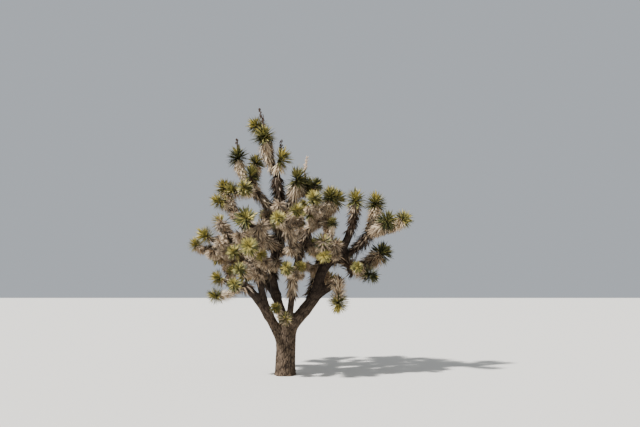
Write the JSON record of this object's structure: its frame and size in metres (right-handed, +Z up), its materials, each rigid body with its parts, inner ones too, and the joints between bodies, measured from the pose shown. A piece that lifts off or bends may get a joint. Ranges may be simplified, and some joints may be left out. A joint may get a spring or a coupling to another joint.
{
  "type": "joshua tree",
  "caption": "Mature Joshua tree with a short stout trunk, forking bark-covered boughs and ball-shaped rosettes of dagger leaves over coats of dry leaves.",
  "frame": {"origin": "middle of the flat cut under the trunk, at ground level", "axes": "+Z up, +X to the tree's right as the picture shows it, -Y towards the picture's camera"},
  "size_m": [4.543, 3.0805, 5.27],
  "materials": {
    "bark": "grey-brown, deeply cracked, rough bark",
    "foliage": "stiff yellow-green dagger leaves over straw-coloured and grey dry leaves"
  },
  "bodies": {
    "root": {"trunk": "bark", "left_bough": "bark", "left_inner_bough": "bark", "left_high_bough": "bark", "centre_left_bough": "bark", "left_front_bough": "bark", "crown_bough": "bark", "front_upper_bough": "bark", "left_top_bough": "bark", "crown_left_bough": "bark", "crown_top_bough": "bark", "crown_right_bough": "bark", "centre_bough": "bark", "centre_right_bough": "bark", "front_top_bough": "bark", "right_bough": "bark", "right_upper_bough": "bark", "right_lower_bough": "bark", "right_curved_bough": "bark", "far_right_bough": "bark", "right_drooping_bough": "bark", "back_left_bough": "bark", "back_right_bough": "bark", "back_bough": "bark", "top_mass": "foliage", "top_right_mass": "foliage", "crown_spire_mass": "foliage", "crown_left_mass": "foliage", "crown_front_mass": "foliage", "upper_left_mass": "foliage", "outer_left_mass": "foliage", "left_high_mass": "foliage", "left_tip_mass": "foliage", "left_middle_mass": "foliage", "left_inner_mass": "foliage", "left_low_mass": "foliage", "left_outer_mass": "foliage", "left_front_mass": "foliage", "front_upper_mass": "foliage", "front_top_mass": "foliage", "centre_front_mass": "foliage", "crown_right_mass": "foliage", "centre_right_mass": "foliage", "right_inner_mass": "foliage", "right_hanging_mass": "foliage", "right_curved_mass": "foliage", "far_right_mass": "foliage", "right_outer_mass": "foliage", "right_tip_mass": "foliage", "right_droop_mass": "foliage", "crotch_mass": "foliage", "back_left_mass": "foliage", "back_left_low_mass": "foliage", "back_right_mass": "foliage", "back_right_low_mass": "foliage", "back_mass": "foliage"}
  },
  "joints": []
}
